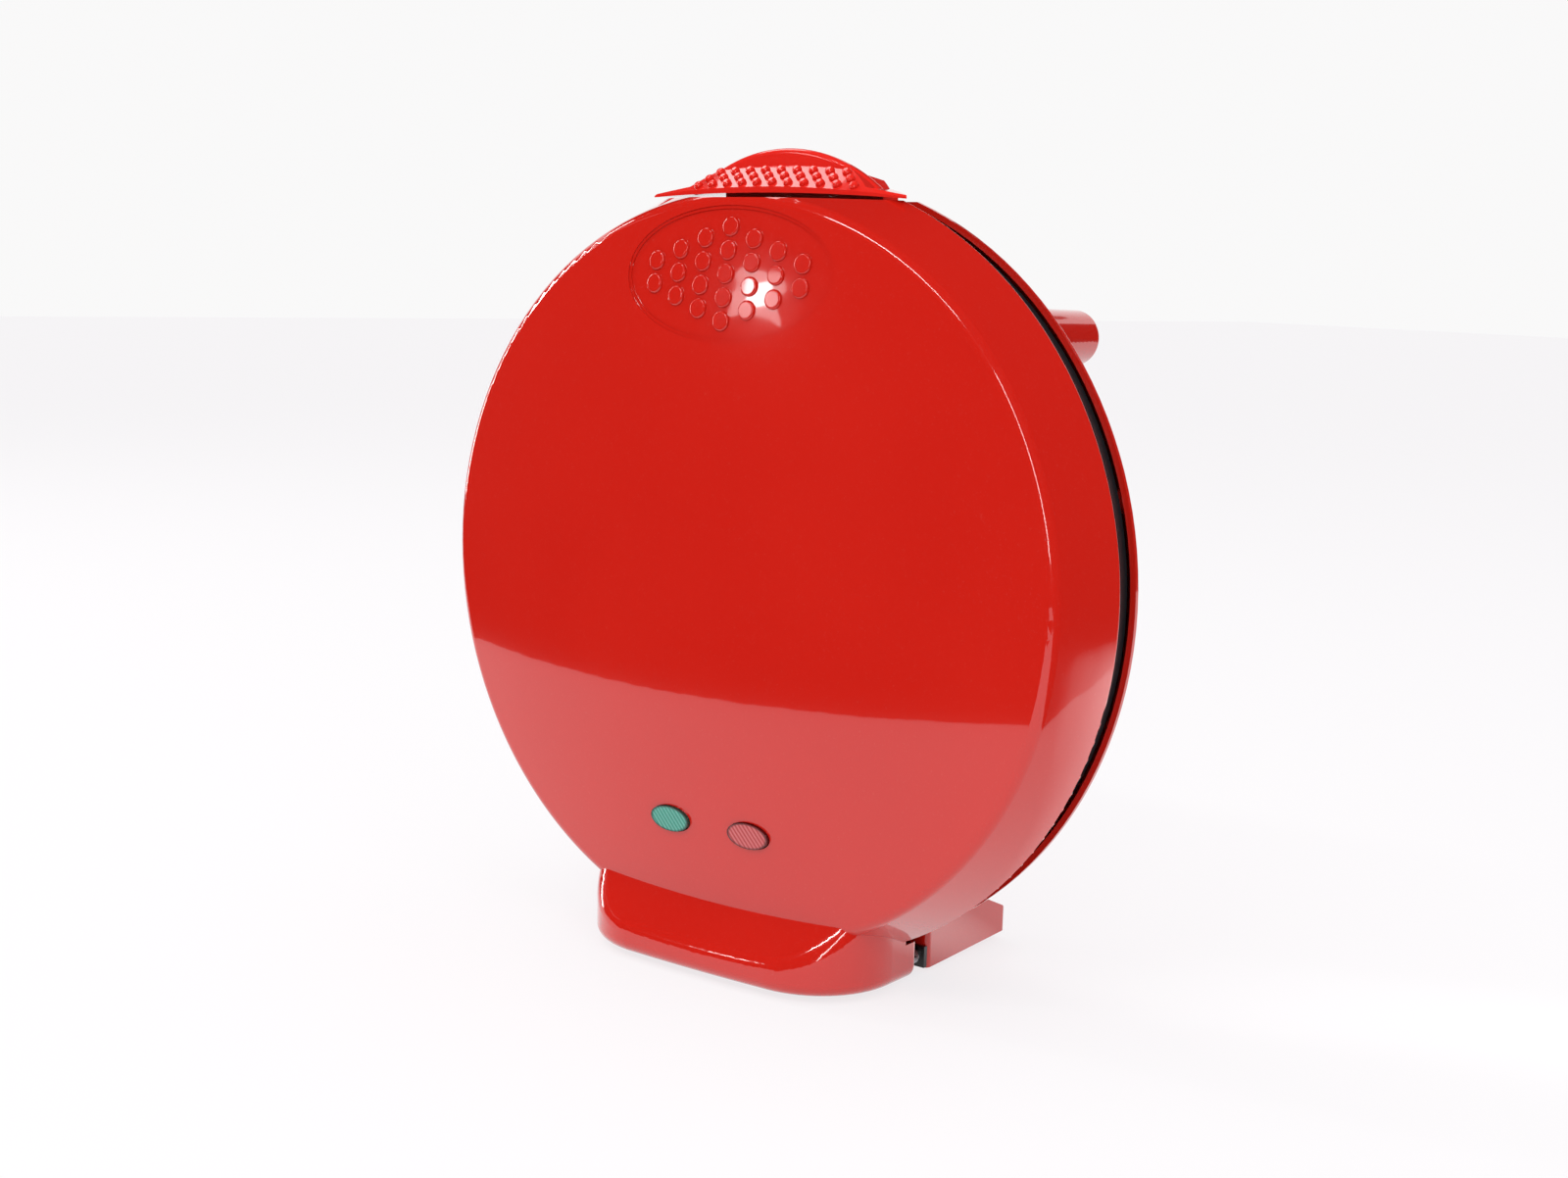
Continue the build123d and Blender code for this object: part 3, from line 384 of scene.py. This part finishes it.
# painted steel of the hinge brackets: near black with a satin shine
black_paint = grained("black_painted_steel", "#0e0e0f", "#1a1a1b", 1.2, (0.3, 0.42), 0.00003)
# moulded nylon of the cord's bushing: near black and dull
black_nylon = grained("black_moulded_nylon", "#121213", "#1d1d1e", 0.9, (0.42, 0.55), 0.00003)
# silicone rubber of the pads: dark grey and matt
grey_silicone = grained("grey_silicone_rubber", "#3c3c3d", "#4b4b4c", 0.8, (0.6, 0.75), 0.00003)
# moulded nylon of the terminal block and the lamps' holder: cream and dull
white_nylon = grained("white_moulded_nylon", "#dcd8cc", "#e7e3d8", 0.9, (0.4, 0.55), 0.00002)
# glass-fibre sleeve of the inner wires: cream, matt and a little uneven
glass_fibre = grained("glass_fibre_sleeving", "#d9d6cb", "#f0ede3", 0.6, (0.6, 0.8), 0.00005)
# frosted glass of the unlit signal lamps: warm and smooth
neon_tube = grained("frosted_neon_tube", "#e2b48a", "#f0cda8", 1.5, (0.15, 0.25), 0.00001)
# covers of the two signal lights: pale tint with fine slanting lines and painted shade at the
# edge
green_cover = ribbed_acrylic(
    "green_ribbed_acrylic", "#2f8f7b", "#6cbcab", "#15463c", -LIGHT_HALF_SPACING
)
red_cover = ribbed_acrylic(
    "red_ribbed_acrylic", "#b8393b", "#dd7476", "#5a1013", LIGHT_HALF_SPACING
)

finishes = {
    "red_gloss": red_lacquer,
    "red_handle": red_handle,
    "black_nonstick": nonstick,
    "grey_rubber": grey_silicone,
    "black_steel": black_paint,
    "bright_steel": zinc,
    "sheet_aluminium": rolled_aluminium,
    "dark_sheath": sheath,
    "black_plastic": black_nylon,
    "white_plastic": white_nylon,
    "wire_sleeve": glass_fibre,
    "green_lens": green_cover,
    "red_lens": red_cover,
    "lamp_glass": neon_tube,
}
for entry in frame["record"]["subparts"]:
    mesh = nodes[entry["node"]].data
    mesh.materials.clear()
    mesh.materials.append(finishes[entry["material_slot"]])


# ---- Lid with the exact normals of its dome ----
def lid_with_true_dome():
    """Copy of the lid's shell whose domed face carries the normals of its sphere."""
    bpy.ops.object.select_all(action="DESELECT")
    shell = nodes["lid_shell"]
    copy = shell.copy()
    copy.data = shell.data.copy()
    copy.name = "lid_shell_true_dome"
    scene.collection.objects.link(copy)
    mesh = copy.data
    # the merge would lose the normals, so a corner attribute carries them through it
    kept = mesh.attributes.new("kept_normal", "FLOAT_VECTOR", "CORNER")
    for index, corner in enumerate(mesh.corner_normals):
        kept.data[index].vector = corner.vector
    copy.select_set(True)
    bpy.context.view_layer.objects.active = copy
    bpy.ops.object.mode_set(mode="EDIT")
    bpy.ops.mesh.select_all(action="SELECT")
    bpy.ops.mesh.remove_doubles(threshold=MERGE_DISTANCE)
    bpy.ops.object.mode_set(mode="OBJECT")
    from_centre = [vertex.co - DOME_CENTRE for vertex in mesh.vertices]
    on_dome = [abs(reach.length - DOME_RADIUS) < ON_DOME_TOLERANCE for reach in from_centre]
    normals = [corner.vector.copy() for corner in mesh.attributes["kept_normal"].data]
    for face in mesh.polygons:
        if all(on_dome[index] for index in face.vertices):
            for loop in face.loop_indices:
                normals[loop] = from_centre[mesh.loops[loop].vertex_index].normalized()
    mesh.normals_split_custom_set(normals)
    mesh.attributes.remove(mesh.attributes["kept_normal"])
    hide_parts("lid_shell")
    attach(copy, "lid")


lid_with_true_dome()


# ---- Table, dark room and light ----
def matt_paint(name, colour):
    """Dull painted surface."""
    material = new_material(name)
    shader = add_node(
        material,
        "ShaderNodeBsdfPrincipled",
        {"Base Color": linear(colour), "Roughness": 0.9, "Specular IOR Level": 0.2},
    )
    return close(material, shader.outputs["BSDF"])


def washed_out(name, colour, shown, share):
    """Pale surface of which the camera and mirrors see this share as plain white.

    The shadows on it are faint for that reason, and its true colour lights the cooker.
    """
    material = new_material(name)
    lit = add_node(
        material,
        "ShaderNodeBsdfPrincipled",
        {"Base Color": linear(colour), "Roughness": 0.6, "Specular IOR Level": 0.2},
    )
    white = add_node(material, "ShaderNodeEmission", {"Color": linear(shown), "Strength": 1.0})
    part = add_node(
        material,
        "ShaderNodeMath",
        {"operation": "MULTIPLY", 1: share},
        {0: seen_or_mirrored(material)},
    )
    mixed = add_node(
        material,
        "ShaderNodeMixShader",
        links={0: part.outputs[0], 1: lit.outputs["BSDF"], 2: white.outputs["Emission"]},
    )
    return close(material, mixed.outputs["Shader"])


def soft_glow(name, strength):
    """Clear sheet with a glow that fades from its middle to its edges."""
    material = new_material(name)
    place = add_node(material, "ShaderNodeTexCoord").outputs["Object"]
    # a panel's Object coordinates run from -0.5 to 0.5 and the gradient ends at 1
    doubled = add_node(material, "ShaderNodeMapping", {"Scale": (2, 2, 2)}, {"Vector": place})
    fade = add_node(
        material,
        "ShaderNodeTexGradient",
        {"gradient_type": "SPHERICAL"},
        {"Vector": doubled.outputs["Vector"]},
    )
    glow = add_node(
        material,
        "ShaderNodeMath",
        {"operation": "MULTIPLY", 1: strength},
        {0: fade.outputs["Fac"]},
    )
    light = add_node(material, "ShaderNodeEmission", links={"Strength": glow.outputs[0]})
    clear = add_node(material, "ShaderNodeBsdfTransparent")
    both = add_node(
        material,
        "ShaderNodeAddShader",
        links={0: light.outputs["Emission"], 1: clear.outputs["BSDF"]},
    )
    return close(material, both.outputs["Shader"])


def panel(name, centre, size, turn, material):
    """Flat rectangle of the studio, turned about its own middle by degrees about X, Y and Z."""
    bpy.ops.object.select_all(action="DESELECT")
    rotation = tuple(math.radians(angle) for angle in turn)
    bpy.ops.mesh.primitive_plane_add(size=1, location=centre, rotation=rotation)
    piece = bpy.context.object
    piece.name = name
    piece.scale = (*size, 1)
    piece.data.materials.append(material)
    return piece


def softbox(name, place, aim, size, power, seen_in_gloss=True):
    """Rectangular area light that faces a point."""
    data = bpy.data.lights.new(name, "AREA")
    data.shape = "RECTANGLE"
    data.size, data.size_y = size
    data.energy = power
    light = bpy.data.objects.new(name, data)
    scene.collection.objects.link(light)
    light.location = place
    light.rotation_euler = (Vector(aim) - Vector(place)).to_track_quat("-Z", "Y").to_euler()
    light.visible_glossy = seen_in_gloss
    light.visible_camera = False


# the table's front edge, which the lid mirrors as the foot of the dark room
TABLE_EDGE_MIDDLE = Vector((-0.2, -0.343, 0))
TABLE_TURN = -15.7
TABLE_SIZE = (14, 9)
# places and sizes of the dark room's panels, and their turns
STANDING_ACROSS = (90, 0, 0)
STANDING_ALONG = (90, 0, 90)
LYING = (0, 0, 0)
CLOTH_TURN = 26.2
DARK_PANELS = {
    "room_wall": ((-1.5, -3.2, 0.6), (9, 3.4), STANDING_ACROSS),
    "room_side_wall": ((-4.2, -1.4, 0.6), (3.8, 3.4), STANDING_ALONG),
    "room_right_wall": ((0.85, 1.2, 1.4), (4.4, 2.8), STANDING_ALONG),
    "room_floor": ((-1.0, -2.4, -0.75), (8, 3.6), LYING),
    "room_ceiling": ((0, 0, 2.3), (8, 8), LYING),
    # its edge runs from the crease to the rim where the lid's side band mirrors it
    "dark_cloth": ((1.200, -0.017, 0.002), (1.6, 0.9), (0, 0, CLOTH_TURN)),
}
# bright patch of the table beside the lid, mirrored along the outer edge of its side band
SHEEN_PLACE = (0.370, 0.131, 0.003)
SHEEN_SIZE = (0.7, 0.12)
SHEEN_TURN = 18.2

room_dark = matt_paint("dark_room_wall", "#1e1a1a")
table_white = washed_out("white_table_laminate", "#f3f2f2", "#fcfafc", 0.8)
table_angle = math.radians(TABLE_TURN)
inwards = Vector((-math.sin(table_angle), math.cos(table_angle), 0))
table_middle = TABLE_EDGE_MIDDLE + inwards * TABLE_SIZE[1] / 2
panel("table_top", table_middle, TABLE_SIZE, (0, 0, TABLE_TURN), table_white)
# the dark room and the patch are seen in glossy surfaces only
mirrored_only = [panel(name, *place, room_dark) for name, place in DARK_PANELS.items()]
sheen = soft_glow("table_sheen_glow", 5.0)
mirrored_only.append(panel("table_sheen", SHEEN_PLACE, SHEEN_SIZE, (0, 0, SHEEN_TURN), sheen))
for piece in mirrored_only:
    piece.visible_camera = False
    piece.visible_diffuse = False
    piece.visible_shadow = False

softbox("overhead", (0.5, -0.2, 2.2), BODY_MIDDLE, (2.6, 2.6), 10, seen_in_gloss=False)
# large lamp up on the left, mirrored by the handle's shelf and the lid's shoulder
softbox("left_softbox", (-1.1, 0.15, 1.75), (0, 0, 0.3), (0.9, 0.6), 5.5)
# strip in front and above, mirrored along the crease and round the pips
softbox("front_strip", (-0.1, -1.3, 1.6), BODY_MIDDLE, (1.2, 0.1), 9.0)
# small lamp and a dimmer one round it, which the lid mirrors under its grip pad
WINDOW_PLACE = (-1.28, -1.83, 0.722)
softbox("window_lamp", WINDOW_PLACE, BODY_MIDDLE, (0.10, 0.08), 0.45)
softbox("window_glow", WINDOW_PLACE, BODY_MIDDLE, (0.2, 0.15), 0.35)
# soft light from the right on the side band, the legs and the stand
softbox("right_fill", (1.3, -0.7, 1.1), BODY_MIDDLE, (0.8, 0.8), 2.4, seen_in_gloss=False)
# upright strips on both sides, mirrored round the pips, the pad's outline and the crease
softbox("left_strip", (-2.0, -0.35, 0.7), BODY_MIDDLE, (0.14, 1.4), 10)
softbox("right_strip", (0.95, -1.8, 0.8), BODY_MIDDLE, (0.14, 1.4), 8)

# near-white backdrop, a little dimmer as a light on the cooker
world = emptied(bpy.data.worlds.new("studio"))
scene.world = world
strength = add_node(
    world,
    "ShaderNodeMapRange",
    {"To Min": 0.76, "To Max": 0.95},
    {"Value": seen_or_mirrored(world)},
)
sky = add_node(
    world,
    "ShaderNodeBackground",
    {"Color": (1.0, 0.995, 0.995, 1.0)},
    {"Strength": strength.outputs["Result"]},
)
add_node(world, "ShaderNodeOutputWorld", links={"Surface": sky.outputs["Background"]})
